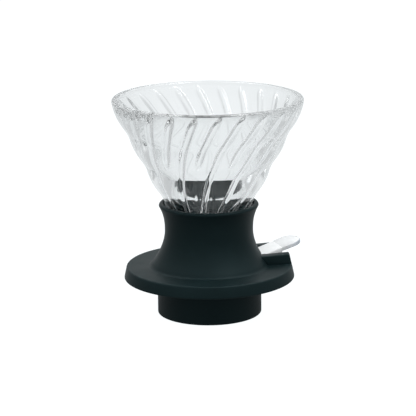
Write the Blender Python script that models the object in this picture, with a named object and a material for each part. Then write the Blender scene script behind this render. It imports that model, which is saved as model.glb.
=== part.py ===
"""Immersion pour-over dripper: a ribbed glass cone that stands in a one-piece silicone base, with a ball
valve under the cone's drain and a clear lever that lifts the ball. Units are millimetres, turned into
metres as each mesh is made. The origin is on the vertical axis at the collar's bottom face, +Z is up and
the lever points along +X."""

import math

import bmesh
import bpy

MM = 0.001
GAP = 0.3

# Glass cone
OVERALL_HEIGHT = 134.0
RIM_RADIUS = 58.0
RIM_THICKNESS = 3.6
CONE_BOTTOM = 49.5
DRAIN_RADIUS = 10.0
FOOT_RADIUS = 16.2
TIER_COUNT = 4
LOWEST_KINK_Z = 53.6
LOWEST_KINK_RADIUS = 17.7
TIER_HEIGHT = 19.6
TIER_STEP = 10.15
TIER_SLOPE_LOW = 0.90
INNER_SLOPE = 0.577
RIB_COUNT = 24
RIB_COLUMNS = 4
RIB_HEIGHT = 1.8
RIB_TOP_Z = 129.0
RIB_BOTTOM_Z = 58.0
SHORT_RIB_BOTTOM_Z = 100.0
RIB_TWIST_PER_MM = 0.52
RIB_AZIMUTH_AT_Z100 = -102.4
RIM_STEPS = 6
TIER_STEPS = 4
RIM_Z = OVERALL_HEIGHT - RIM_THICKNESS / 2
RIM_INNER_RADIUS = RIM_RADIUS - RIM_THICKNESS

# Silicone base
COLLAR_RADIUS = 31.9
COLLAR_INNER_RADIUS = 28.4
COLLAR_EDGE = 0.8
FLANGE_BOTTOM_Z = 22.3
FLANGE_TOP_Z = 29.7
FLANGE_BOTTOM_RADIUS = 52.35
FLANGE_TOP_RADIUS = 50.7
FLANGE_EDGE = 0.8
WAIST_FOOT_Z = 30.4
WAIST_Z = 52.0
WAIST_RADIUS = 27.0
SKIRT_FLARE = 9.5
SKIRT_POWER = 1.9
LIP_Z = 67.4
LIP_FLARE = 3.46
LIP_POWER = 2.5
LIP_EDGE = 1.6
WAIST_FILLET = 1.5
MOUTH_Z = LIP_Z + LIP_EDGE
MOUTH_RADIUS = 27.9
SOCKET_GAP = 0.5
BASE_SEGMENTS = 72

# Ball valve
BALL_RADIUS = 7.0
WELL_RADIUS = 10.3
SEAT_BOTTOM_Z = 41.7
OUTLET_RADIUS = 4.6
OUTLET_BOTTOM_Z = 39.0
OUTLET_RING_RADIUS = 9.0
# The ball rests on a 45 degree seat, raised by the gap measured across that slope.
BALL_CENTER_Z = SEAT_BOTTOM_Z - OUTLET_RADIUS + (BALL_RADIUS + GAP) * math.sqrt(2)

# Lever and its housing
PIVOT_X = 28.0
PIVOT_Z = 32.5
TRUNNION_RADIUS = 1.6
TRUNNION_REACH = 11.7
HUB_RADIUS = 2.8
HUB_REACH = 8.0
LEVER_TIP_X = 59.0
LEVER_NARROW = 8.4
LEVER_WIDE = 9.0
LEVER_WIDENS_X = (43.0, 49.0)
LEVER_THICKNESS = 2.6
HEEL_THICKNESS = 4.2
HEEL_START_X = 31.0
HEEL_END_X = 44.5
LEVER_TOP_OVER_PIVOT = 0.7
LEVER_TILT = 17.8
LEVER_LEVELS_OFF_X = 48.0
LEVER_ROLL_OVER = 0.42
ARM_WIDTH = 7.0
ARM_THICKNESS = 3.0
ARM_TOP_Z = 32.2
ARM_END_X = -2.8
ARM_SIDE_ROOM = 1.1
FINGER_FOOT_RADIUS = 2.8
FINGER_RADIUS = 2.2
HOUSING_START_X = 24.0
HOUSING_HALF_WIDTH = 15.75
HOUSING_TOP_Z = 35.8
HOUSING_EDGE = 0.8
SLOT_HALF_WIDTH = 10.0
SLOT_START_X = 33.0
SLOT_FLOOR_Z = 28.9
SLOT_TOP_Z = 40.0
TUNNEL_START_X = 23.5
TUNNEL_TOP_Z = 36.3
ARM_TUNNEL_START_X = 6.0
ARM_TUNNEL_TOP_Z = 38.3


def material(name, color, roughness, metallic=0.0, transmission=0.0):
    made = bpy.data.materials.new(name)
    made.use_nodes = True
    shader = made.node_tree.nodes["Principled BSDF"]
    shader.inputs["Base Color"].default_value = (*color, 1.0)
    shader.inputs["Roughness"].default_value = roughness
    shader.inputs["Metallic"].default_value = metallic
    shader.inputs["Transmission Weight"].default_value = transmission
    return made


def new_object(name, bm, finish=None, location=(0.0, 0.0, 0.0)):
    """An object from a bmesh drawn in millimetres, with its origin at location."""
    bmesh.ops.recalc_face_normals(bm, faces=bm.faces)
    for vert in bm.verts:
        vert.co = [(vert.co[axis] - location[axis]) * MM for axis in range(3)]
    mesh = bpy.data.meshes.new(name)
    bm.to_mesh(mesh)
    bm.free()
    obj = bpy.data.objects.new(name, mesh)
    obj.location = [value * MM for value in location]
    bpy.context.scene.collection.objects.link(obj)
    if finish:
        mesh.materials.append(finish)
        mesh.shade_smooth()
        mesh.set_sharp_from_angle(angle=math.radians(35))
    return obj


def as_tool(obj):
    """Keep a cutter or a joined shape out of the finished object."""
    obj.hide_render = True
    obj.display_type = "WIRE"
    return obj


def combine(obj, other, operation):
    modifier = obj.modifiers.new(f"{operation.lower()} {other.name}", "BOOLEAN")
    modifier.operation = operation
    modifier.object = as_tool(other)
    modifier.solver = "EXACT"


def arc(center_r, center_z, radius, start_deg, end_deg, steps):
    angles = [start_deg + (end_deg - start_deg) * step / steps for step in range(steps + 1)]
    return [
        (center_r + radius * math.cos(math.radians(a)), center_z + radius * math.sin(math.radians(a)))
        for a in angles
    ]


def spun(profile, segments):
    """A closed outline of (radius, z) points turned once round the Z axis."""
    bm = bmesh.new()
    verts = [bm.verts.new((r, 0.0, z)) for r, z in profile]
    edges = [bm.edges.new((a, b)) for a, b in zip(verts, verts[1:] + verts[:1])]
    bmesh.ops.spin(
        bm, geom=verts + edges, cent=(0, 0, 0), axis=(0, 0, 1), angle=math.tau, steps=segments, use_merge=True
    )
    return bm


def block(low, high):
    bm = bmesh.new()
    bmesh.ops.create_cube(bm, size=1.0)
    for vert in bm.verts:
        vert.co = [low[i] if vert.co[i] < 0 else high[i] for i in range(3)]
    return bm


def rod(start, end, start_radius, end_radius, segments):
    """A rod along Y or Z, from start to end."""
    bm = bmesh.new()
    along = 1 if start[1] != end[1] else 2
    across = [axis for axis in range(3) if axis != along]
    rings = []
    for point, radius in ((start, start_radius), (end, end_radius)):
        ring = []
        for step in range(segments):
            angle = math.tau * step / segments
            place = list(point)
            place[across[0]] += radius * math.cos(angle)
            place[across[1]] += radius * math.sin(angle)
            ring.append(bm.verts.new(place))
        rings.append(ring)
    for ring in rings:
        bm.faces.new(ring)
    bmesh.ops.bridge_loops(bm, edges=[edge for edge in bm.edges])
    return bm


def cone_outer_radius(z):
    """The outside of the glass: barrel tiers, each steep at its top and flared at its foot."""
    tier = min(max(int((z - LOWEST_KINK_Z) // TIER_HEIGHT), 0), TIER_COUNT - 1)
    foot_z = LOWEST_KINK_Z + tier * TIER_HEIGHT
    foot_radius = LOWEST_KINK_RADIUS + tier * TIER_STEP
    last = tier == TIER_COUNT - 1
    height = RIM_Z - foot_z if last else TIER_HEIGHT
    step = RIM_RADIUS - foot_radius if last else TIER_STEP
    share = (z - foot_z) / height
    bend = TIER_SLOPE_LOW - step / height
    return foot_radius + height * (TIER_SLOPE_LOW * share - bend * share * share)


def cone_inner_radius(z):
    return max(DRAIN_RADIUS, RIM_INNER_RADIUS - (RIM_Z - z) * INNER_SLOPE)


def cone_outline():
    outside = [(FOOT_RADIUS, CONE_BOTTOM)]
    for tier in range(TIER_COUNT):
        foot_z = LOWEST_KINK_Z + tier * TIER_HEIGHT
        top_z = RIM_Z if tier == TIER_COUNT - 1 else foot_z + TIER_HEIGHT
        heights = [foot_z + (top_z - foot_z) * step / TIER_STEPS for step in range(TIER_STEPS)]
        outside += [(cone_outer_radius(z), z) for z in heights]
    rim = arc(RIM_RADIUS - RIM_THICKNESS / 2, RIM_Z, RIM_THICKNESS / 2, 0, 180, RIM_STEPS)
    long_rib_z = (RIB_TOP_Z, 120, 110, SHORT_RIB_BOTTOM_Z + 1, SHORT_RIB_BOTTOM_Z - 1, 90, 80, 70, 60)
    inside_z = (RIB_TOP_Z + 2, *long_rib_z, RIB_BOTTOM_Z - 2)
    inside = [(cone_inner_radius(z), z) for z in inside_z]
    bore_top = RIM_Z - (RIM_INNER_RADIUS - DRAIN_RADIUS) / INNER_SLOPE
    return outside + rim + inside + [(DRAIN_RADIUS, bore_top), (DRAIN_RADIUS, CONE_BOTTOM)]


def make_glass_cone():
    """The heatproof glass cone, open at its rim and its drain, with spiral ribs on its inner wall."""
    columns = RIB_COUNT * RIB_COLUMNS
    bm = spun(cone_outline(), columns)
    for vert in bm.verts:
        radius = math.hypot(vert.co.x, vert.co.y)
        z = vert.co.z
        column = round(math.degrees(math.atan2(vert.co.y, vert.co.x)) * columns / 360) % columns
        on_wall = z > RIB_BOTTOM_Z and abs(radius - cone_inner_radius(z)) < 0.01
        if on_wall and column % RIB_COLUMNS == 0 and z <= RIB_TOP_Z:
            long_rib = column // RIB_COLUMNS % 2 == 0
            if long_rib or z > SHORT_RIB_BOTTOM_Z:
                radius -= RIB_HEIGHT
        angle = 360 * column / columns + RIB_AZIMUTH_AT_Z100 + (z - SHORT_RIB_BOTTOM_Z) * RIB_TWIST_PER_MM
        vert.co.x = radius * math.cos(math.radians(angle))
        vert.co.y = radius * math.sin(math.radians(angle))
    glass = material("heatproof glass", (0.93, 0.95, 0.95), 0.02, transmission=1.0)
    return new_object("glass_cone", bm, glass)


def waist_radius(z):
    """The outside of the waist: a wide skirt below its narrowest ring and a short flare up to the lip."""
    if z < WAIST_Z:
        return WAIST_RADIUS + SKIRT_FLARE * ((WAIST_Z - z) / (WAIST_Z - FLANGE_TOP_Z)) ** SKIRT_POWER
    return WAIST_RADIUS + LIP_FLARE * ((z - WAIST_Z) / (LIP_Z - WAIST_Z)) ** LIP_POWER


def base_outline():
    edge = COLLAR_EDGE
    collar = [(COLLAR_INNER_RADIUS, 0.0)] + arc(COLLAR_RADIUS - edge, edge, edge, -90, 0, 2)
    flange = [(COLLAR_RADIUS, FLANGE_BOTTOM_Z)]
    flange += [(FLANGE_BOTTOM_RADIUS - FLANGE_EDGE, FLANGE_BOTTOM_Z)]
    flange += [(FLANGE_BOTTOM_RADIUS, FLANGE_BOTTOM_Z + FLANGE_EDGE)]
    flange += [(FLANGE_TOP_RADIUS, FLANGE_TOP_Z - FLANGE_EDGE)]
    flange += [(FLANGE_TOP_RADIUS - FLANGE_EDGE, FLANGE_TOP_Z)]
    flange += [(waist_radius(WAIST_FOOT_Z) + WAIST_FILLET, FLANGE_TOP_Z)]
    steps = 7
    skirt_z = [WAIST_FOOT_Z + (WAIST_Z - WAIST_FOOT_Z) * (i / steps) for i in range(steps)]
    flare_z = [WAIST_Z + (LIP_Z - WAIST_Z) * i / 4 for i in range(5)]
    waist = [(waist_radius(z), z) for z in skirt_z + flare_z]
    mouth = arc(waist_radius(LIP_Z) - LIP_EDGE, LIP_Z, LIP_EDGE, 0, 90, 3)[1:] + [(MOUTH_RADIUS, MOUTH_Z)]
    socket_z = [66.0, 62.0, 58.0, LOWEST_KINK_Z]
    socket = [(cone_outer_radius(z) + SOCKET_GAP, z) for z in socket_z]
    socket += [(FOOT_RADIUS + SOCKET_GAP, CONE_BOTTOM - GAP), (WELL_RADIUS, CONE_BOTTOM - GAP)]
    seat = [(WELL_RADIUS, SEAT_BOTTOM_Z + WELL_RADIUS - OUTLET_RADIUS), (OUTLET_RADIUS, SEAT_BOTTOM_Z)]
    seat += [(OUTLET_RADIUS, OUTLET_BOTTOM_Z), (OUTLET_RING_RADIUS, OUTLET_BOTTOM_Z)]
    hollow = [(COLLAR_INNER_RADIUS, OUTLET_BOTTOM_Z - (COLLAR_INNER_RADIUS - OUTLET_RING_RADIUS))]
    return collar + flange + waist + mouth + socket + seat + hollow


def make_housing():
    """The block on the flange that the lever lies in. Its outer end carries on the flange's sloping side."""
    side_slope = (FLANGE_BOTTOM_RADIUS - FLANGE_TOP_RADIUS) / (FLANGE_TOP_Z - FLANGE_BOTTOM_Z)
    bm = bmesh.new()
    rings = []
    for z in (FLANGE_TOP_Z - 1.5, HOUSING_TOP_Z):
        radius = FLANGE_TOP_RADIUS - (z - FLANGE_TOP_Z) * side_slope - 0.05
        corner = math.asin(HOUSING_HALF_WIDTH / radius)
        angles = [corner * (step / 5 - 1) for step in range(11)]
        end = [(radius * math.cos(a), radius * math.sin(a)) for a in angles]
        plan = [(HOUSING_START_X, -HOUSING_HALF_WIDTH)] + end + [(HOUSING_START_X, HOUSING_HALF_WIDTH)]
        rings.append([bm.verts.new((x, y, z)) for x, y in plan])
    for ring in rings:
        bm.faces.new(ring)
    bmesh.ops.bridge_loops(bm, edges=[edge for edge in bm.edges])
    top_edges = [e for e in bm.edges if all(v.co.z > HOUSING_TOP_Z - 0.01 for v in e.verts)]
    corner_edges = [
        e
        for e in bm.edges
        if abs(e.verts[0].co.z - e.verts[1].co.z) > 1
        and all(abs(abs(v.co.y) - HOUSING_HALF_WIDTH) < 0.01 and v.co.x > PIVOT_X for v in e.verts)
    ]
    bmesh.ops.recalc_face_normals(bm, faces=bm.faces)
    bmesh.ops.bevel(
        bm, geom=top_edges + corner_edges, offset=HOUSING_EDGE, segments=2, profile=0.5, affect="EDGES"
    )
    return new_object("housing_block", bm)


def make_silicone_base():
    """One silicone moulding: collar, flange, waist, socket for the cone, ball seat and lever housing."""
    silicone = material("black silicone", (0.012, 0.016, 0.017), 0.55)
    base = new_object("silicone_base", spun(base_outline(), BASE_SEGMENTS), silicone)
    combine(base, make_housing(), "UNION")
    slot = block((SLOT_START_X, -SLOT_HALF_WIDTH, SLOT_FLOOR_Z), (LEVER_TIP_X, SLOT_HALF_WIDTH, SLOT_TOP_Z))
    combine(base, new_object("slot_cutter", slot), "DIFFERENCE")
    mouth_end = (SLOT_START_X + GAP, SLOT_HALF_WIDTH, TUNNEL_TOP_Z)
    mouth = block((TUNNEL_START_X, -SLOT_HALF_WIDTH, SLOT_FLOOR_Z), mouth_end)
    combine(base, new_object("tunnel_mouth_cutter", mouth), "DIFFERENCE")
    arm_half = ARM_WIDTH / 2 + ARM_SIDE_ROOM
    tunnel_end = (TUNNEL_START_X + GAP, arm_half, ARM_TUNNEL_TOP_Z)
    tunnel = block((ARM_TUNNEL_START_X, -arm_half, SLOT_FLOOR_Z), tunnel_end)
    combine(base, new_object("arm_tunnel_cutter", tunnel), "DIFFERENCE")
    reach = TRUNNION_REACH + GAP
    radius = TRUNNION_RADIUS + GAP
    bearing = rod((PIVOT_X, -reach, PIVOT_Z), (PIVOT_X, reach, PIVOT_Z), radius, radius, 24)
    combine(base, new_object("bearing_cutter", bearing), "DIFFERENCE")
    return base


def lever_top(x):
    """The height of the paddle's top face: a straight rise that rolls over to level at the tip."""
    rise = math.tan(math.radians(LEVER_TILT))
    straight_end = min(x, LEVER_LEVELS_OFF_X)
    z = PIVOT_Z + LEVER_TOP_OVER_PIVOT + (straight_end - PIVOT_X) * rise
    beyond = max(0.0, x - LEVER_LEVELS_OFF_X)
    length = LEVER_TIP_X - LEVER_LEVELS_OFF_X
    return z + rise * (beyond - LEVER_ROLL_OVER * beyond * beyond / length)


def lever_half_width(x):
    start, end = LEVER_WIDENS_X
    share = min(max((x - start) / (end - start), 0.0), 1.0)
    width = LEVER_NARROW + (LEVER_WIDE - LEVER_NARROW) * share * share * (3 - 2 * share)
    from_round = max(0.0, x - (LEVER_TIP_X - LEVER_WIDE))
    return min(width, math.sqrt(max(LEVER_WIDE**2 - from_round**2, 0.3)))


def make_paddle():
    """The part of the lever that is pressed: sections lofted from the pivot over the thick heel to the tip."""
    round_start = LEVER_TIP_X - LEVER_WIDE
    heel_end = (HEEL_END_X, HEEL_END_X + GAP)
    straight = [PIVOT_X, PIVOT_X + 1.5, HEEL_START_X, 36.0, 41.0, *heel_end, 46.5, LEVER_LEVELS_OFF_X]
    tip = [round_start + LEVER_WIDE * math.sin(math.radians(90 * step / 7)) for step in range(8)]
    bm = bmesh.new()
    previous = None
    for x in straight + tip:
        half = lever_half_width(x)
        top = lever_top(x)
        low = top - (HEEL_THICKNESS if HEEL_START_X <= x <= HEEL_END_X else LEVER_THICKNESS)
        section = [bm.verts.new((x, y, z)) for y, z in ((-half, low), (half, low), (half, top), (-half, top))]
        if previous is None:
            bm.faces.new(section)
        else:
            for i in range(4):
                j = (i + 1) % 4
                bm.faces.new((previous[i], previous[j], section[j], section[i]))
        previous = section
    bm.faces.new(previous)
    return bm


def make_lever():
    """One clear moulding: paddle, hub with two trunnions, arm, and the finger that lifts the ball."""
    pivot = (PIVOT_X, 0.0, PIVOT_Z)
    clear = material("clear plastic", (0.92, 0.94, 0.95), 0.08, transmission=1.0)
    lever = new_object("switch_lever", make_paddle(), clear, pivot)
    hub = rod((PIVOT_X, -HUB_REACH, PIVOT_Z), (PIVOT_X, HUB_REACH, PIVOT_Z), HUB_RADIUS, HUB_RADIUS, 24)
    combine(lever, new_object("hub_rod", hub), "UNION")
    ends = [(PIVOT_X, side * TRUNNION_REACH, PIVOT_Z) for side in (-1, 1)]
    trunnion = rod(*ends, TRUNNION_RADIUS, TRUNNION_RADIUS, 24)
    combine(lever, new_object("trunnion_rod", trunnion), "UNION")
    low = (ARM_END_X, -ARM_WIDTH / 2, ARM_TOP_Z - ARM_THICKNESS)
    arm = block(low, (PIVOT_X - 0.5, ARM_WIDTH / 2, ARM_TOP_Z))
    combine(lever, new_object("arm_block", arm), "UNION")
    finger_top = BALL_CENTER_Z - BALL_RADIUS - GAP
    finger = rod((0, 0, ARM_TOP_Z - 1), (0, 0, finger_top), FINGER_FOOT_RADIUS, FINGER_RADIUS, 20)
    combine(lever, new_object("finger_rod", finger), "UNION")
    return lever


def make_valve_ball():
    bm = bmesh.new()
    bmesh.ops.create_uvsphere(bm, u_segments=28, v_segments=16, radius=BALL_RADIUS)
    for vert in bm.verts:
        vert.co.z += BALL_CENTER_Z
    steel = material("polished stainless steel", (0.62, 0.62, 0.61), 0.12, metallic=1.0)
    return new_object("valve_ball", bm, steel, (0.0, 0.0, BALL_CENTER_Z))


for leftover in list(bpy.data.objects):
    bpy.data.objects.remove(leftover, do_unlink=True)
make_glass_cone()
make_silicone_base()
make_lever()
make_valve_ball()
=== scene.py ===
"""The looks of an immersion pour-over dripper: a ribbed glass cone in a black silicone base, with a clear
switch lever and a steel valve ball. Sizes are in millimetres and become metres as each mesh is made."""

import math

import bmesh
import bpy
from mathutils import Matrix, Vector


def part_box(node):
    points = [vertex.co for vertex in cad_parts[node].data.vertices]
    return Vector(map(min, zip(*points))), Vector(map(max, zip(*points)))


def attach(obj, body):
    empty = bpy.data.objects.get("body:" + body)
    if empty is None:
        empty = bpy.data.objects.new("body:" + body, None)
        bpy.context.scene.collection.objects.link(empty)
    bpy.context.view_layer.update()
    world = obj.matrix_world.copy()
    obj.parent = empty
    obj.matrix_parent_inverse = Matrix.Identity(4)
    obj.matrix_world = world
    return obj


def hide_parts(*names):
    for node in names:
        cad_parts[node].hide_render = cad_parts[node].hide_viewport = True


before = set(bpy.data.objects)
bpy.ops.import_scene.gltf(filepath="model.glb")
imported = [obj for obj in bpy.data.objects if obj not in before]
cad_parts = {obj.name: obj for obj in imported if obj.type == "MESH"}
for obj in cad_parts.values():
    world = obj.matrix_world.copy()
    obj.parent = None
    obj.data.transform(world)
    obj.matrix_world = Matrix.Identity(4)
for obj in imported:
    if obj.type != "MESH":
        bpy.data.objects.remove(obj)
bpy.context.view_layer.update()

# ---------------------------------------------------------------------------------------------------------
# Studio. A white table and white walls under soft light, seen from a little above with a long lens. The
# lever points to the right and a little away from the camera.

MM = 0.001
CAMERA_AZIMUTH = -18.0
CAMERA_ELEVATION = 13.72
CAMERA_DISTANCE = 1216.4
CAMERA_LENS = 172.58
CAMERA_ROLL = -0.58
AIM_HEIGHT = 65.25
AIM_SIDE = -0.45
ORBIT_HEIGHT = 67.0
FLOOR_RADIUS = 6.0
STUDIO_WHITE = (0.955, 0.985, 1.0, 1)
SEEN_BRIGHTNESS = 1.03
BACK_BRIGHTNESS = 0.82
SIDE_BRIGHTNESS = 0.30
TOP_BRIGHTNESS = 1.30
GLASS_SIDE_BRIGHTNESS = 0.52

# Cosine of the angle from straight behind at which the bright back wall has faded to the side walls.
WALL_EDGE = 0.35
GLASS_WALL_EDGE = 0.78

# Sines of the elevation between which a wall turns into the ceiling. The floor never does.
WALL_HEIGHTS = (0.15, 0.75)
FLOOR_HEIGHTS = (2.0, 3.0)
GLASS_CEILING_CUT = 0.35
LIGHT_BOUNCES = 24
BRIGHTEST_INDIRECT = 2.5


def make_camera():
    azimuth, elevation = math.radians(CAMERA_AZIMUTH), math.radians(CAMERA_ELEVATION)
    level = math.cos(elevation)
    back = Vector((math.sin(azimuth) * level, -math.cos(azimuth) * level, math.sin(elevation)))
    place = (Vector((0, 0, ORBIT_HEIGHT)) + back * CAMERA_DISTANCE) * MM
    aim = Vector((AIM_SIDE * math.cos(azimuth), AIM_SIDE * math.sin(azimuth), AIM_HEIGHT)) * MM
    looking = aim - place
    data = bpy.data.cameras.new("studio_camera")
    data.lens = CAMERA_LENS
    camera = bpy.data.objects.new("studio_camera", data)
    turn = looking.to_track_quat("-Z", "Y").to_matrix().to_4x4()
    roll = Matrix.Rotation(math.radians(CAMERA_ROLL), 4, "Z")
    camera.matrix_world = Matrix.Translation(place) @ turn @ roll
    bpy.context.scene.collection.objects.link(camera)
    bpy.context.scene.camera = camera


class Tree:
    """A short way to write a node tree: each call adds one node and returns its first output."""

    def __init__(self, tree):
        self.tree = tree

    def add(self, kind, values=(), out=0, **settings):
        node = self.tree.nodes.new(kind)
        for name, value in settings.items():
            setattr(node, name, value)
        for place, value in values.items() if isinstance(values, dict) else enumerate(values):
            if isinstance(value, bpy.types.NodeSocket):
                self.tree.links.new(value, node.inputs[place])
            else:
                node.inputs[place].default_value = value
        return node.outputs[out]

    def math(self, operation, *values):
        return self.add("ShaderNodeMath", values, operation=operation)


def studio_brightness(make, direction, heights):
    """White where the camera looks straight at it. As lighting it is bright behind and overhead and dimmer
    elsewhere. What shines through clear pieces has a narrower bright wall, which draws their outlines."""
    azimuth = math.radians(CAMERA_AZIMUTH)
    back = (-math.sin(azimuth), math.cos(azimuth), 0.0)
    facing = make.add("ShaderNodeVectorMath", [direction, back], out=1, operation="DOT_PRODUCT")
    rays = make.add("ShaderNodeLightPath").node.outputs
    through = rays["Is Transmission Ray"]
    side = make.add("ShaderNodeMapRange", [through, 0.0, 1.0, SIDE_BRIGHTNESS, GLASS_SIDE_BRIGHTNESS])
    edge = make.add("ShaderNodeMapRange", [through, 0.0, 1.0, WALL_EDGE, GLASS_WALL_EDGE])
    behind = make.add("ShaderNodeMapRange", [facing, edge, 1.0, side, BACK_BRIGHTNESS])
    height = make.add("ShaderNodeSeparateXYZ", [direction], out=2)
    ceiling = make.add("ShaderNodeMapRange", [height, *heights, 0.0, 1.0])
    cut = make.math("MULTIPLY", through, GLASS_CEILING_CUT)
    overhead = make.math("MAXIMUM", make.math("SUBTRACT", ceiling, cut), 0.0)
    rest = make.math("SUBTRACT", TOP_BRIGHTNESS, behind)
    lighting = make.math("MULTIPLY_ADD", overhead, rest, behind)
    return make.add("ShaderNodeMix", {"Factor": rays["Is Camera Ray"], "A": lighting, "B": SEEN_BRIGHTNESS})


def make_floor():
    """A white table top that glows a little, so that the object's own shadow on it stays faint."""
    bm = bmesh.new()
    bmesh.ops.create_circle(bm, cap_ends=True, segments=96, radius=FLOOR_RADIUS)
    mesh = bpy.data.meshes.new("studio_floor")
    bm.to_mesh(mesh)
    bm.free()
    paint = bpy.data.materials.new("white table")
    paint.use_nodes = True
    shader = paint.node_tree.nodes["Principled BSDF"]
    shader.inputs["Roughness"].default_value = 0.9
    shader.inputs["Specular IOR Level"].default_value = 0.0
    shader.inputs["Base Color"].default_value = (0.06, 0.06, 0.06, 1)
    shader.inputs["Emission Color"].default_value = STUDIO_WHITE
    make = Tree(paint.node_tree)
    place = make.add("ShaderNodeTexCoord", out="Object")
    way = make.add("ShaderNodeVectorMath", [place], operation="NORMALIZE")
    glow = studio_brightness(make, way, FLOOR_HEIGHTS)
    make.tree.links.new(glow, shader.inputs["Emission Strength"])
    mesh.materials.append(paint)
    floor = bpy.data.objects.new("studio_floor", mesh)
    bpy.context.scene.collection.objects.link(floor)


def make_light(name, place, size, watts, through):
    """A square softbox that faces the object; through says whether it shines through clear pieces."""
    data = bpy.data.lights.new(name, "AREA")
    data.shape = "SQUARE"
    data.size = size
    data.energy = watts
    light = bpy.data.objects.new(name, data)
    light.visible_transmission = through
    place = Vector(place)
    turn = (-place).to_track_quat("-Z", "Y").to_matrix().to_4x4()
    light.matrix_world = Matrix.Translation(place) @ turn
    bpy.context.scene.collection.objects.link(light)


def make_walls():
    world = bpy.data.worlds.new("white studio")
    world.use_nodes = True
    make = Tree(world.node_tree)
    direction = make.add("ShaderNodeTexCoord", out="Generated")
    paint = world.node_tree.nodes["Background"].inputs
    paint["Color"].default_value = STUDIO_WHITE
    make.tree.links.new(studio_brightness(make, direction, WALL_HEIGHTS), paint["Strength"])
    bpy.context.scene.world = world


make_camera()
make_floor()
make_walls()
make_light("top_softbox", (-0.5, 0.3, 1.6), 0.6, 6.0, True)
make_light("front_softbox", (0.5, -0.5, 1.5), 0.7, 11.0, False)
bpy.context.scene.view_settings.view_transform = "Standard"
bpy.context.scene.cycles.max_bounces = LIGHT_BOUNCES
bpy.context.scene.cycles.transmission_bounces = LIGHT_BOUNCES
bpy.context.scene.cycles.glossy_bounces = LIGHT_BOUNCES
bpy.context.scene.cycles.sample_clamp_indirect = BRIGHTEST_INDIRECT

# ---------------------------------------------------------------------------------------------------------
# Glass cone. Clear heatproof glass, pressed in a mould: the outside steps down in barrel tiers, the inside
# is a straight cone with twelve long and twelve short spiral ribs, and the rim is fire-polished round. The
# cone stands in the silicone socket by its own weight and the grip of the rubber.

cone_low, cone_high = (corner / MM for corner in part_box("glass_cone"))
RIM_RADIUS = cone_high.x
RIM_BEAD = 1.8
RIM_Z = cone_high.z - RIM_BEAD
FOOT_Z = cone_low.z
FOOT_RADIUS = 16.2
FOOT_EDGE = 0.6
DRAIN_RADIUS = 10.0
TIERS = 4
TIER_HEIGHT = 19.6
TIER_STEP = 10.15
LOWEST_KINK_Z = 53.6
LOWEST_KINK_RADIUS = 17.7
TIER_SLOPE_LOW = 0.90
KINK_SOFTNESS = 3.2
INNER_SLOPE = 0.577
COLUMNS_PER_RIB = 20
RIBS = 24
RIM_STEPS = 14
OUTSIDE_STEP = 1.5
INSIDE_STEP = 0.85
GLASS_TINTS = ((0.970, 0.982, 0.984, 1), (0.988, 0.994, 0.994, 1))
RIM_ROUGHNESS = 0.16


def arc(center_r, center_z, radius, start_deg, end_deg, steps):
    angles = [math.radians(start_deg + (end_deg - start_deg) * i / steps) for i in range(steps + 1)]
    return [(center_r + radius * math.cos(a), center_z + radius * math.sin(a)) for a in angles]


def spaced(start, end, step):
    """Heights from start to end, both included, about step apart."""
    count = max(1, round(abs(end - start) / step))
    return [start + (end - start) * i / count for i in range(count + 1)]


def tier_radius(z):
    """The outside of one barrel tier: flared at its foot, steeper at its top."""
    tier = min(max(int((z - LOWEST_KINK_Z) // TIER_HEIGHT), 0), TIERS - 1)
    foot_z = LOWEST_KINK_Z + tier * TIER_HEIGHT
    foot_radius = LOWEST_KINK_RADIUS + tier * TIER_STEP
    last = tier == TIERS - 1
    height = RIM_Z - foot_z if last else TIER_HEIGHT
    step = RIM_RADIUS - foot_radius if last else TIER_STEP
    share = (z - foot_z) / height
    bend = TIER_SLOPE_LOW - step / height
    return foot_radius + height * (TIER_SLOPE_LOW * share - bend * share * share)


def cone_outside(z):
    """The tiers with the inner corner between two of them rounded a little."""
    reach = min(KINK_SOFTNESS, RIM_Z - z, z - LOWEST_KINK_Z)
    return sum(tier_radius(z + reach * k / 4) for k in range(-4, 5)) / 9


def cone_inside(z):
    return max(DRAIN_RADIUS, RIM_RADIUS - 2 * RIM_BEAD - (RIM_Z - z) * INNER_SLOPE)


def lathe(outline, steps, inner_from=None, inner_to=None):
    """A closed outline of (radius, z) turned once round Z. Points inner_from to inner_to may carry ribs."""
    bm = bmesh.new()
    ribbed = bm.verts.layers.float.new("ribbed")
    verts = [bm.verts.new((r * MM, 0, z * MM)) for r, z in outline]
    if inner_from is not None:
        for vert in verts[inner_from:inner_to]:
            vert[ribbed] = 1.0
    edges = [bm.edges.new(pair) for pair in zip(verts, verts[1:] + verts[:1])]
    bmesh.ops.spin(
        bm, geom=verts + edges, cent=(0, 0, 0), axis=(0, 0, 1), angle=math.tau, steps=steps, use_merge=True
    )
    bmesh.ops.recalc_face_normals(bm, faces=bm.faces)
    return bm


def new_piece(name, bm, finish=None):
    mesh = bpy.data.meshes.new(name)
    bm.to_mesh(mesh)
    bm.free()
    mesh.shade_smooth()
    if finish:
        mesh.materials.append(finish)
    made = bpy.data.objects.new(name, mesh)
    bpy.context.scene.collection.objects.link(made)
    return made


def settle(piece):
    """Turn a piece and its modifiers into one plain mesh."""
    graph = bpy.context.evaluated_depsgraph_get()
    piece.data = bpy.data.meshes.new_from_object(piece.evaluated_get(graph))
    piece.data.name = piece.name
    piece.modifiers.clear()
    return piece


RIB_SIZES = {
    "Rib Count": RIBS,
    "Rib Height": 1.6 * MM,
    "Half Width at Top": 2.75 * MM,
    "Half Width at Foot": 1.45 * MM,
    "Top": 131.2 * MM,
    "Long Foot": 53.0 * MM,
    "Short Foot": 99.0 * MM,
    "Crowding": 0.4,
    "Twist": math.radians(-84.5 - 18.0),
    "Twist Rate": math.radians(510.0),
    "Twist Growth": math.radians(1200.0),
    "Twist Zero": 100.0 * MM,
    "Top Rounding": 6.0 * MM,
    "Foot Rounding": 5.0 * MM,
    "Widens From": 75.0 * MM,
    "Height Share at Foot": 0.65,
}


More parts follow.
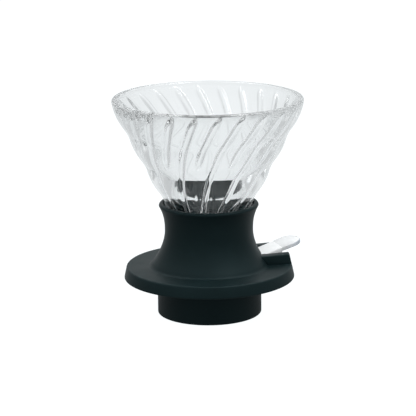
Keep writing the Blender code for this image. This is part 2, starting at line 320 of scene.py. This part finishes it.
def rib_tree(glass):
    """Raises the ribs on the inner wall and twists the columns of the mesh so that they follow the ribs."""
    tree = bpy.data.node_groups.new("spiral ribs", "GeometryNodeTree")
    tree.interface.new_socket("Geometry", in_out="INPUT", socket_type="NodeSocketGeometry")
    for name, value in RIB_SIZES.items():
        kind = "NodeSocketInt" if isinstance(value, int) else "NodeSocketFloat"
        tree.interface.new_socket(name, in_out="INPUT", socket_type=kind)
    tree.interface.new_socket("Geometry", in_out="OUTPUT", socket_type="NodeSocketGeometry")
    make = Tree(tree)
    given = tree.nodes.new("NodeGroupInput").outputs

    place = make.add("GeometryNodeInputPosition")
    parts = make.add("ShaderNodeSeparateXYZ", [place]).node.outputs
    x, y, z = parts["X"], parts["Y"], parts["Z"]
    radius = make.math("SQRT", make.math("MULTIPLY_ADD", x, x, make.math("MULTIPLY", y, y)))
    cell = make.math("DIVIDE", math.tau, given["Rib Count"])
    turns = make.math("DIVIDE", make.math("ARCTAN2", y, x), cell)
    number = make.math("ROUND", turns)
    share = make.math("SUBTRACT", turns, number)

    # Columns crowd towards each rib's middle.
    wave = make.math("SINE", make.math("MULTIPLY", share, math.tau))
    pull = make.math("DIVIDE", make.math("MULTIPLY", wave, given["Crowding"]), math.tau)
    crowded = make.math("SUBTRACT", share, pull)
    arc_length = make.math("MULTIPLY", make.math("MULTIPLY", crowded, cell), radius)
    across = make.math("ABSOLUTE", arc_length)

    # Every second rib is a short one.
    short = make.math("ABSOLUTE", make.math("MODULO", number, 2.0))
    foot_gap = make.math("SUBTRACT", given["Short Foot"], given["Long Foot"])
    foot = make.math("MULTIPLY_ADD", short, foot_gap, given["Long Foot"])

    def rounded(distance, reach):
        near = make.add("ShaderNodeMapRange", [distance, 0.0, reach, 1.0, 0.0])
        return make.math("SQRT", make.math("SUBTRACT", 1.0, make.math("MULTIPLY", near, near)))

    top_end = rounded(make.math("SUBTRACT", given["Top"], z), given["Top Rounding"])
    foot_end = rounded(make.math("SUBTRACT", z, foot), given["Foot Rounding"])
    end = make.math("MULTIPLY", top_end, foot_end)
    level = make.add("ShaderNodeMapRange", [z, given["Widens From"], given["Top"], 0.0, 1.0])
    wider = make.math("SUBTRACT", given["Half Width at Top"], given["Half Width at Foot"])
    width = make.math("MULTIPLY_ADD", level, wider, given["Half Width at Foot"])
    thinnest = 0.01 * MM
    half = make.math("MAXIMUM", make.math("MULTIPLY", width, end), thinnest)
    near = make.math("MINIMUM", make.math("DIVIDE", across, half), 1.0)
    bump = make.math("SUBTRACT", 1.0, make.math("MULTIPLY", near, near))
    taller = make.math("SUBTRACT", 1.0, given["Height Share at Foot"])
    slim = make.math("MULTIPLY_ADD", level, taller, given["Height Share at Foot"])
    full = make.math("MULTIPLY", given["Rib Height"], slim)
    tall = make.math("MULTIPLY", full, make.math("MULTIPLY", end, end))
    ribbed = make.add("GeometryNodeInputNamedAttribute", {"Name": "ribbed"}, data_type="FLOAT")
    raised = make.math("MULTIPLY", make.math("MULTIPLY", tall, bump), ribbed)

    # The raised point in the plane through the axis, then turned to its place on the spiral.
    normal = make.add("ShaderNodeSeparateXYZ", [make.add("GeometryNodeInputNormal")]).node.outputs
    outward = make.math("MULTIPLY_ADD", normal["X"], x, make.math("MULTIPLY", normal["Y"], y))
    outward = make.math("DIVIDE", outward, radius)
    new_radius = make.math("MULTIPLY_ADD", outward, raised, radius)
    new_z = make.math("MULTIPLY_ADD", normal["Z"], raised, z)
    rise = make.math("SUBTRACT", z, given["Twist Zero"])
    rate = make.math("MULTIPLY_ADD", rise, given["Twist Growth"], given["Twist Rate"])
    lean = make.math("MULTIPLY_ADD", rise, rate, given["Twist"])
    angle = make.math("MULTIPLY_ADD", make.math("ADD", crowded, number), cell, lean)
    new_x = make.math("MULTIPLY", new_radius, make.math("COSINE", angle))
    new_y = make.math("MULTIPLY", new_radius, make.math("SINE", angle))
    spiral = make.add("ShaderNodeCombineXYZ", [new_x, new_y, new_z])

    moved = make.add("GeometryNodeSetPosition", {"Geometry": given["Geometry"], "Position": spiral})
    real = make.add("GeometryNodeRealizeInstances", [moved])
    shown = make.add("GeometryNodeSetMaterial", {"Geometry": real, "Material": glass})
    tree.links.new(shown, tree.nodes.new("NodeGroupOutput").inputs[0])
    return tree


def new_material(name, **values):
    """A Principled material: its node tree helper, and its shader with the given sockets set."""
    made = bpy.data.materials.new(name)
    made.use_nodes = True
    shader = made.node_tree.nodes["Principled BSDF"]
    for socket, value in values.items():
        shader.inputs[socket.replace("_", " ")].default_value = value
    return made, Tree(made.node_tree), shader.inputs


def ramp(make, value, colors, places=(0.0, 1.0)):
    """A colour between two, by value."""
    made = make.add("ShaderNodeValToRGB", {"Fac": value})
    for stop, color, place in zip(made.node.color_ramp.elements, colors, places):
        stop.position = place
        stop.color = color
    return made


def connect(make, shader, **sockets):
    for socket, value in sockets.items():
        make.tree.links.new(value, shader[socket.replace("_", " ")])


def glass_material():
    """Clear pressed glass: faint flow waves, a softer gloss in specks and at the rim, a trace of green."""
    made, make, shader = new_material("heatproof glass", Transmission_Weight=1.0, IOR=1.473)
    place = make.add("ShaderNodeTexCoord", out="Object")
    waves = make.add("ShaderNodeTexNoise", {"Vector": place, "Scale": 55.0, "Detail": 2.0, "Roughness": 0.4})
    bump = make.add("ShaderNodeBump", {"Strength": 0.04, "Distance": 0.4 * MM, "Height": waves})
    specks = make.add("ShaderNodeTexNoise", {"Vector": place, "Scale": 420.0, "Detail": 3.0})
    soft_specks = make.add("ShaderNodeMapRange", [specks, 0.35, 0.75, 0.0, 0.015])
    height = make.add("ShaderNodeSeparateXYZ", [place], out=2)
    rib_top = RIB_SIZES["Top"]
    soft_rim = make.add("ShaderNodeMapRange", [height, rib_top - 4 * MM, rib_top, 0.0, RIM_ROUGHNESS])
    gloss = make.math("ADD", soft_specks, soft_rim)
    connect(make, shader, Base_Color=ramp(make, waves, GLASS_TINTS), Roughness=gloss, Normal=bump)
    return made


def cone_outline():
    """The outline from the foot up the outside, over the rim and down the inside, and where its ribs are."""
    foot_edge = arc(FOOT_RADIUS - FOOT_EDGE, FOOT_Z + FOOT_EDGE, FOOT_EDGE, -90, 0, 4)
    foot_middle = ((FOOT_RADIUS + LOWEST_KINK_RADIUS) / 2, (FOOT_Z + FOOT_EDGE + LOWEST_KINK_Z) / 2)
    foot = foot_edge + [foot_middle]
    outside = []
    for tier in range(TIERS):
        low = LOWEST_KINK_Z + tier * TIER_HEIGHT
        high = RIM_Z if tier == TIERS - 1 else low + TIER_HEIGHT
        fine = [low + KINK_SOFTNESS * k / 4 for k in range(4)]
        fine_end = [high - KINK_SOFTNESS * k / 4 for k in (4, 3, 2, 1)]
        plain = spaced(low + KINK_SOFTNESS, high - KINK_SOFTNESS, OUTSIDE_STEP)[:-1]
        outside += [(cone_outside(z), z) for z in fine + plain + fine_end]
    rim = arc(RIM_RADIUS - RIM_BEAD, RIM_Z, RIM_BEAD, 0, 180, RIM_STEPS)
    bore_top = RIM_Z - (RIM_RADIUS - 2 * RIM_BEAD - DRAIN_RADIUS) / INNER_SLOPE
    inside = [(cone_inside(z), z) for z in spaced(RIM_Z - 0.8, bore_top, INSIDE_STEP)]
    bore = [(DRAIN_RADIUS, bore_top - 1.0), (DRAIN_RADIUS, FOOT_Z + FOOT_EDGE)]
    drain = arc(DRAIN_RADIUS + FOOT_EDGE, FOOT_Z + FOOT_EDGE, FOOT_EDGE, 180, 270, 4)[1:]
    first = len(foot) + len(outside) + len(rim)
    return foot + outside + rim + inside + bore + drain, first, first + len(inside)


outline, first_ribbed, last_ribbed = cone_outline()
glass = glass_material()
cone = new_piece("glass_cone_visual", lathe(outline, RIBS * COLUMNS_PER_RIB, first_ribbed, last_ribbed))
ribs = cone.modifiers.new("spiral ribs", "NODES")
ribs.node_group = rib_tree(glass)
for socket in ribs.node_group.interface.items_tree:
    if socket.in_out == "INPUT" and socket.name in RIB_SIZES:
        ribs[socket.identifier] = RIB_SIZES[socket.name]
settle(cone)
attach(cone, "cone")
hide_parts("glass_cone")

# ---------------------------------------------------------------------------------------------------------
# Silicone base. One soft black moulding with a satin skin: a collar that sits in the server's mouth, a round
# flange, a waist that opens into the socket for the cone, the ball's seat and the housing of the lever.

COLLAR_RADIUS = 31.9
COLLAR_INNER_RADIUS = 28.4
EDGE = 0.8
FLANGE_BOTTOM_Z = 22.3
FLANGE_TOP_Z = 29.7
FLANGE_BOTTOM_RADIUS = 52.35
FLANGE_TOP_RADIUS = 50.7
SIDE_SLOPE = (FLANGE_BOTTOM_RADIUS - FLANGE_TOP_RADIUS) / (FLANGE_TOP_Z - FLANGE_BOTTOM_Z)
WAIST_FOOT_Z = 30.4
WAIST_Z = 52.0
WAIST_RADIUS = 27.0
FOOT_FLARE = 9.5
FOOT_FLARE_POWER = 1.9
LIP_FLARE = 3.46
LIP_FLARE_POWER = 2.5
LIP_Z = 67.4
LIP_EDGE = 1.6
MOUTH_RADIUS = 27.9
SOCKET_GAP = 0.5
WELL_RADIUS = 10.3
SEAT_BOTTOM_Z = 41.7
OUTLET_RADIUS = 4.6
OUTLET_BOTTOM_Z = 39.0
OUTLET_RING_RADIUS = 9.0
PIVOT_X = 28.0
PIVOT_Z = 32.5
HOUSING_START_X = 24.0
HOUSING_HALF_WIDTH = 15.75
HOUSING_TOP_Z = 35.8
SLOT_HALF_WIDTH = 10.0
SLOT_START_X = 33.0
SLOT_FLOOR_Z = 28.9
HUB_ROOM_START_X = 23.5
HUB_ROOM_TOP_Z = 36.3
ARM_TUNNEL_START_X = 6.0
ARM_TUNNEL_HALF_WIDTH = 4.6
ARM_TUNNEL_TOP_Z = 38.3
OVERLAP = 0.3
BEARING_RADIUS = 1.9
BEARING_END_Y = 12
BASE_COLUMNS = 192
SHARP_OVER_DEGREES = 32
SILICONE_COLORS = ((0.0046, 0.0112, 0.0122, 1), (0.0064, 0.0150, 0.0164, 1))
SILICONE_GLOSS_TINT = (0.70, 0.95, 1.0, 1)


def waist_radius(z):
    if z < WAIST_Z:
        return WAIST_RADIUS + FOOT_FLARE * ((WAIST_Z - z) / (WAIST_Z - FLANGE_TOP_Z)) ** FOOT_FLARE_POWER
    return WAIST_RADIUS + LIP_FLARE * ((z - WAIST_Z) / (LIP_Z - WAIST_Z)) ** LIP_FLARE_POWER


def fillet(a, corner, b, steps=4):
    """A soft corner between the points a and b."""
    points = []
    for t in (i / steps for i in range(steps + 1)):
        from_a, from_corner, from_b = (1 - t) ** 2, 2 * t * (1 - t), t * t
        points.append(tuple(a[k] * from_a + corner[k] * from_corner + b[k] * from_b for k in (0, 1)))
    return points


def base_outline():
    collar = [(COLLAR_INNER_RADIUS + 0.4, 0.0)] + arc(COLLAR_RADIUS - EDGE, EDGE, EDGE, -90, 0, 5)
    under = FLANGE_BOTTOM_Z
    collar += fillet((COLLAR_RADIUS, under - 0.9), (COLLAR_RADIUS, under), (COLLAR_RADIUS + 0.9, under))
    low, high = FLANGE_BOTTOM_RADIUS, FLANGE_TOP_RADIUS
    flange = fillet((low - 1.0, under), (low, under), (low - 0.18, under + 0.8))
    flange += fillet((high + 0.2, FLANGE_TOP_Z - 0.9), (high, FLANGE_TOP_Z), (high - 1.0, FLANGE_TOP_Z), 5)
    foot_z = WAIST_FOOT_Z + 1.4
    foot = waist_radius(foot_z)
    flange += fillet((foot + 2.6, FLANGE_TOP_Z), (foot + 0.9, FLANGE_TOP_Z), (foot, foot_z), 6)
    waist = [(waist_radius(z), z) for z in spaced(foot_z, LIP_Z, 1.1)[1:-1]]
    lip = arc(waist_radius(LIP_Z) - LIP_EDGE, LIP_Z, LIP_EDGE, 0, 90, 7)
    top = LIP_Z + LIP_EDGE
    mouth = fillet((MOUTH_RADIUS + 0.4, top), (MOUTH_RADIUS, top), (MOUTH_RADIUS - 0.2, top - 0.6), 3)
    socket_z = spaced(66.0, 56.0, 2.0) + [LOWEST_KINK_Z]
    socket = [(cone_outside(z) + SOCKET_GAP, z) for z in socket_z]
    socket += [(FOOT_RADIUS + SOCKET_GAP, FOOT_Z - 0.3), (WELL_RADIUS, FOOT_Z - 0.3)]
    seat = [(WELL_RADIUS, SEAT_BOTTOM_Z + WELL_RADIUS - OUTLET_RADIUS), (OUTLET_RADIUS, SEAT_BOTTOM_Z)]
    outlet = [(OUTLET_RADIUS, OUTLET_BOTTOM_Z + 0.3), (OUTLET_RADIUS + 0.3, OUTLET_BOTTOM_Z)]
    outlet += [(OUTLET_RING_RADIUS, OUTLET_BOTTOM_Z)]
    slope = OUTLET_BOTTOM_Z + OUTLET_RING_RADIUS - COLLAR_INNER_RADIUS
    side = COLLAR_INNER_RADIUS
    hollow = fillet((side - 1.4, slope + 1.4), (side, slope), (side, slope - 1.6))
    return collar + flange + waist + lip + mouth + socket + seat + outlet + hollow + [(side, 0.4)]


def prism(low_ring, high_ring):
    """A closed body between two rings of the same number of points."""
    bm = bmesh.new()
    rings = [[bm.verts.new(Vector(point) * MM) for point in ring] for ring in (low_ring, high_ring)]
    count = len(low_ring)
    bm.faces.new(rings[0])
    bm.faces.new(rings[1])
    for i in range(count):
        j = (i + 1) % count
        bm.faces.new((rings[0][i], rings[0][j], rings[1][j], rings[1][i]))
    bmesh.ops.recalc_face_normals(bm, faces=bm.faces)
    return bm


def housing_shape():
    """The block round the lever. Its outer end carries on the flange's sloping side."""
    rings = []
    for z in (FLANGE_TOP_Z - 1.5, HOUSING_TOP_Z):
        radius = FLANGE_TOP_RADIUS - (z - FLANGE_TOP_Z) * SIDE_SLOPE - 0.05
        corner = math.asin(HOUSING_HALF_WIDTH / radius)
        turns = [corner * (i / 12 - 1) for i in range(25)]
        end = [(radius * math.cos(a), radius * math.sin(a), z) for a in turns]
        back = HOUSING_START_X
        rings.append([(back, -HOUSING_HALF_WIDTH, z)] + end + [(back, HOUSING_HALF_WIDTH, z)])
    bm = prism(*rings)
    same = 0.001

    def on_top(vert):
        return abs(vert.co.z / MM - HOUSING_TOP_Z) < same

    def at_outer_corner(vert):
        at_side = abs(abs(vert.co.y) / MM - HOUSING_HALF_WIDTH) < same
        return at_side and vert.co.x / MM > HOUSING_START_X + same

    top_edges = [edge for edge in bm.edges if all(on_top(vert) for vert in edge.verts)]
    corners = [e for e in bm.edges if e not in top_edges and all(at_outer_corner(vert) for vert in e.verts)]
    bmesh.ops.bevel(bm, geom=top_edges + corners, offset=EDGE * MM, segments=5, profile=0.5, affect="EDGES")
    return bm


def slot_shape():
    """The space over the lever. It widens in small arcs at the top, which rounds the cheeks' inner edges."""
    half, top, edge = SLOT_HALF_WIDTH, HOUSING_TOP_Z, 0.5
    side = [(half, SLOT_FLOOR_Z), (half, top - edge)]
    for a in (0.4, 0.8, 1.2, math.pi / 2):
        side.append((half + edge - edge * math.cos(a), top - edge + edge * math.sin(a)))
    side += [(half + edge + 0.1, top + 0.3), (half + edge + 0.1, top + 3)]
    section = side + [(-y, z) for y, z in reversed(side)]
    return prism([(SLOT_START_X, y, z) for y, z in section], [(60.0, y, z) for y, z in section])


def box_shape(low, high):
    corners = [(low[0], low[1]), (high[0], low[1]), (high[0], high[1]), (low[0], high[1])]
    return prism([(x, y, low[2]) for x, y in corners], [(x, y, high[2]) for x, y in corners])


def rod_shape(start, end, start_radius, end_radius, steps=48):
    """A round rod along Y or Z."""
    along_y = start[1] != end[1]
    rings = []
    for point, radius in ((start, start_radius), (end, end_radius)):
        ring = []
        for i in range(steps):
            a, b = radius * math.cos(math.tau * i / steps), radius * math.sin(math.tau * i / steps)
            ring.append((point[0] + a, point[1] + (0 if along_y else b), point[2] + (b if along_y else 0)))
        rings.append(ring)
    return prism(*rings)


def combine(piece, shapes):
    """Add or cut away each (operation, bmesh) in turn, and leave one plain mesh."""
    for operation, bm in shapes:
        tool = new_piece("tool", bm)
        modifier = piece.modifiers.new("shape", "BOOLEAN")
        modifier.operation = operation
        modifier.object = tool
        modifier.solver = "EXACT"
        settle(piece)
        bpy.data.objects.remove(tool, do_unlink=True)


def finish_moulding(piece, finish):
    """A moulding's one material. Its round faces are smooth and its edges stay sharp."""
    piece.data.materials.clear()
    piece.data.materials.append(finish)
    piece.data.shade_smooth()
    piece.data.set_sharp_from_angle(angle=math.radians(SHARP_OVER_DEGREES))


def silicone_material():
    """Black silicone: a satin skin with a fine grain and faint cloudy patches."""
    made, make, shader = new_material("black silicone", IOR=1.41, Specular_IOR_Level=0.19)
    shader["Specular Tint"].default_value = SILICONE_GLOSS_TINT
    place = make.add("ShaderNodeTexCoord", out="Object")
    cloud = make.add("ShaderNodeTexNoise", {"Vector": place, "Scale": 38.0, "Detail": 4.0, "Roughness": 0.6})
    grain = make.add("ShaderNodeTexNoise", {"Vector": place, "Scale": 2600.0, "Detail": 2.0})
    color = ramp(make, cloud, SILICONE_COLORS, (0.3, 0.75))
    gloss = make.add("ShaderNodeMapRange", [cloud, 0.3, 0.7, 0.44, 0.54])
    bump = make.add("ShaderNodeBump", {"Strength": 0.25, "Distance": 0.05 * MM, "Height": grain})
    connect(make, shader, Base_Color=color, Roughness=gloss, Normal=bump)
    return made


base = new_piece("silicone_base_visual", lathe(base_outline(), BASE_COLUMNS))
hub_room = box_shape(
    (HUB_ROOM_START_X, -SLOT_HALF_WIDTH, SLOT_FLOOR_Z),
    (SLOT_START_X + OVERLAP, SLOT_HALF_WIDTH, HUB_ROOM_TOP_Z),
)
arm_tunnel = box_shape(
    (ARM_TUNNEL_START_X, -ARM_TUNNEL_HALF_WIDTH, SLOT_FLOOR_Z),
    (HUB_ROOM_START_X + OVERLAP, ARM_TUNNEL_HALF_WIDTH, ARM_TUNNEL_TOP_Z),
)
bearing_ends = (PIVOT_X, -BEARING_END_Y, PIVOT_Z), (PIVOT_X, BEARING_END_Y, PIVOT_Z)
combine(base, [
    ("UNION", housing_shape()),
    ("DIFFERENCE", slot_shape()),
    ("DIFFERENCE", hub_room),
    ("DIFFERENCE", arm_tunnel),
    ("DIFFERENCE", rod_shape(*bearing_ends, BEARING_RADIUS, BEARING_RADIUS)),
])
finish_moulding(base, silicone_material())
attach(base, "base")
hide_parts("silicone_base")

# ---------------------------------------------------------------------------------------------------------
# Switch lever. One moulding of clear plastic: a paddle with a round tip, a thicker heel with frosted faces, a
# hub with two trunnions that click into the silicone, and an arm whose finger lifts the ball.

LEVER_TIP_X = 59.0
LEVER_NARROW = 8.4
LEVER_WIDE = 9.0
LEVER_THICKNESS = 2.6
HEEL_THICKNESS = 4.2
HEEL_START_X = 31.0
HEEL_END_X = 44.5
LEVER_TILT = math.tan(math.radians(17.8))
TOP_OVER_PIVOT = 0.7
LEVELS_OFF_X = 48.0
LEVELS_OFF_BY = 0.42
LEVER_EDGE = 0.55
TIP_ROUNDING = 0.7
HUB_RADIUS = 2.8
HUB_END_Y = 8
TRUNNION_RADIUS = 1.6
TRUNNION_END_Y = 11.7
ARM_START_X = -2.8
ARM_END_X = 27.5
ARM_HALF_WIDTH = 3.5
ARM_THICKNESS = 3
ARM_TOP_Z = 32.2
FINGER_FOOT_RADIUS = 2.8
FINGER_TIP_RADIUS = 2.2
FINGER_TIP_Z = 40.1
CLEAR_TINT = (0.985, 0.990, 0.995, 1)
FROSTED_TINT = (0.985, 0.990, 0.988, 1)
# Painted shade: the blue-grey painted round the tip's edge, where the clear side faces look dark.
TIP_EDGE_PAINTED_SHADE = (0.34, 0.42, 0.52, 1)


def lever_top(x):
    beyond = max(0.0, x - LEVELS_OFF_X)
    straight = PIVOT_Z + TOP_OVER_PIVOT + (min(x, LEVELS_OFF_X) - PIVOT_X) * LEVER_TILT
    drop = LEVELS_OFF_BY * beyond * beyond / (LEVER_TIP_X - LEVELS_OFF_X)
    return straight + LEVER_TILT * (beyond - drop)


def lever_half_width(x):
    share = min(max((x - 43.0) / 6.0, 0.0), 1.0)
    width = LEVER_NARROW + (LEVER_WIDE - LEVER_NARROW) * share * share * (3 - 2 * share)
    past = max(0.0, x - (LEVER_TIP_X - LEVER_WIDE))
    return min(width, math.sqrt(max(LEVER_WIDE**2 - past**2, 0.0)))


def soft_section(x, half, low, high, edge, steps=4):
    """A rounded rectangle across the lever at x."""
    edge = min(edge, half * 0.98)
    ring = []
    for cy, cz, start in ((1, 1, 0), (-1, 1, 90), (-1, -1, 180), (1, -1, 270)):
        middle_y = cy * (half - edge)
        middle_z = high - edge if cz > 0 else low + edge
        for i in range(steps + 1):
            a = math.radians(start + 90 * i / steps)
            ring.append((x, middle_y + edge * math.cos(a), middle_z + edge * math.sin(a)))
    return ring


def paddle_shape():
    straight = [PIVOT_X, PIVOT_X + 1.5, HEEL_START_X] + spaced(HEEL_START_X + 1.0, HEEL_END_X - 0.3, 1.5)
    straight += [HEEL_END_X, HEEL_END_X + 0.3] + spaced(HEEL_END_X + 1.1, LEVER_TIP_X - LEVER_WIDE, 0.9)
    turns = [math.radians(87.5 * i / 22) for i in range(1, 23)]
    tip = [LEVER_TIP_X - LEVER_WIDE + LEVER_WIDE * math.sin(turn) for turn in turns]
    sections = []
    for x in straight + tip:
        thick = HEEL_THICKNESS if HEEL_START_X <= x <= HEEL_END_X else LEVER_THICKNESS
        top, half = lever_top(x), lever_half_width(x)
        close = min((LEVER_TIP_X - x) / TIP_ROUNDING, 1.0)
        squeeze = TIP_ROUNDING * (1 - math.sqrt(max(0.0, 1 - (1 - close) ** 2)))
        sections.append(soft_section(x, half, top - thick + squeeze, top - squeeze, LEVER_EDGE))
    bm = bmesh.new()
    rings = [[bm.verts.new(Vector(point) * MM) for point in ring] for ring in sections]
    for before, after in zip(rings, rings[1:]):
        for i in range(len(before)):
            j = (i + 1) % len(before)
            bm.faces.new((before[i], before[j], after[j], after[i]))
    bm.faces.new(rings[0])
    bm.faces.new(rings[-1])
    bmesh.ops.recalc_face_normals(bm, faces=bm.faces)
    return bm


def clear_plastic():
    """Clear plastic that looks nearly white: glossy at the tip, frosted from the heel inwards, with faint
    hairline marks and a painted shade of blue-grey round the tip's edge, strongest at the very tip."""
    made, make, shader = new_material("clear plastic", IOR=1.49)
    place = make.add("ShaderNodeTexCoord", out="Object")
    along = make.add("ShaderNodeSeparateXYZ", [place])
    clear_from, frosted_to = (HEEL_END_X + 0.6) * MM, (HEEL_END_X - 0.4) * MM
    frosted = make.add("ShaderNodeMapRange", [along, clear_from, frosted_to, 0.0, 1.0])
    marks = make.add("ShaderNodeTexNoise", {"Vector": place, "Scale": 700.0, "Detail": 4.0})
    gloss = make.add("ShaderNodeMapRange", [marks, 0.3, 0.8, 0.02, 0.09])
    rough = make.math("MULTIPLY_ADD", frosted, 0.34, gloss)
    tints = {"Factor": frosted, 6: CLEAR_TINT, 7: FROSTED_TINT}
    faces = make.add("ShaderNodeMix", tints, out=2, data_type="RGBA")
    x, y = along.node.outputs["X"], along.node.outputs["Y"]
    # Painted shade: a band along the tip's outline, stronger towards the very tip, is mixed towards
    # blue-grey; edge and rim carry this painted shade.
    tip_start = (LEVER_TIP_X - LEVER_WIDE) * MM
    beyond = make.math("MAXIMUM", make.math("SUBTRACT", x, tip_start), 0.0)
    reach = make.math("SQRT", make.math("MULTIPLY_ADD", beyond, beyond, make.math("MULTIPLY", y, y)))
    edge = make.add("ShaderNodeMapRange", [reach, (LEVER_WIDE - 0.6) * MM, (LEVER_WIDE - 0.1) * MM, 0.0, 1.0])
    painted_shade_toward_tip = make.add("ShaderNodeMapRange", [x, tip_start, LEVER_TIP_X * MM, 0.12, 0.9])
    rim = make.math("MULTIPLY", edge, painted_shade_toward_tip)
    tint_with_painted_shade = make.add("ShaderNodeMix", {"Factor": rim, 6: faces, 7: TIP_EDGE_PAINTED_SHADE}, out=2, data_type="RGBA")
    bump = make.add("ShaderNodeBump", {"Strength": 0.12, "Distance": 0.05 * MM, "Height": marks})
    clarity = make.add("ShaderNodeMapRange", [frosted, 0.0, 1.0, 0.30, 0.05])
    connect(make, shader, Transmission_Weight=clarity, Base_Color=tint_with_painted_shade, Roughness=rough, Normal=bump)
    return made


lever = new_piece("switch_lever_visual", paddle_shape())
hub_ends = (PIVOT_X, -HUB_END_Y, PIVOT_Z), (PIVOT_X, HUB_END_Y, PIVOT_Z)
trunnion_ends = (PIVOT_X, -TRUNNION_END_Y, PIVOT_Z), (PIVOT_X, TRUNNION_END_Y, PIVOT_Z)
finger_ends = (0, 0, ARM_TOP_Z - 1), (0, 0, FINGER_TIP_Z)
arm = box_shape(
    (ARM_START_X, -ARM_HALF_WIDTH, ARM_TOP_Z - ARM_THICKNESS),
    (ARM_END_X, ARM_HALF_WIDTH, ARM_TOP_Z),
)
combine(lever, [
    ("UNION", rod_shape(*hub_ends, HUB_RADIUS, HUB_RADIUS)),
    ("UNION", rod_shape(*trunnion_ends, TRUNNION_RADIUS, TRUNNION_RADIUS)),
    ("UNION", arm),
    ("UNION", rod_shape(*finger_ends, FINGER_FOOT_RADIUS, FINGER_TIP_RADIUS)),
])
finish_moulding(lever, clear_plastic())
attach(lever, "lever")
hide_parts("switch_lever")

# ---------------------------------------------------------------------------------------------------------
# Valve ball. A polished stainless-steel bearing ball that drops on the seat by its own weight and closes the
# drain; fine grinding lines run round it.

ball_low, ball_high = (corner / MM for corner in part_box("valve_ball"))
BALL_CENTER = (ball_low + ball_high) / 2
BALL_RADIUS = (ball_high.z - ball_low.z) / 2
STEEL_COLORS = ((0.56, 0.56, 0.55, 1), (0.66, 0.66, 0.65, 1))


def ball_shape():
    bm = bmesh.new()
    bmesh.ops.create_icosphere(bm, subdivisions=5, radius=BALL_RADIUS * MM)
    bmesh.ops.translate(bm, vec=BALL_CENTER * MM, verts=bm.verts)
    return bm


def steel_material():
    made, make, shader = new_material("polished stainless steel", Metallic=1.0)
    place = make.add("ShaderNodeTexCoord", out="Object")
    blot = make.add("ShaderNodeTexNoise", {"Vector": place, "Scale": 160.0, "Detail": 3.0})
    lines = make.add("ShaderNodeTexNoise", {"Vector": place, "Scale": 3000.0, "Detail": 2.0})
    color = ramp(make, blot, STEEL_COLORS)
    gloss = make.add("ShaderNodeMapRange", [blot, 0.3, 0.7, 0.08, 0.16])
    bump = make.add("ShaderNodeBump", {"Strength": 0.08, "Distance": 0.02 * MM, "Height": lines})
    connect(make, shader, Base_Color=color, Roughness=gloss, Normal=bump)
    return made


ball = new_piece("valve_ball_visual", ball_shape(), steel_material())
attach(ball, "ball")
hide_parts("valve_ball")
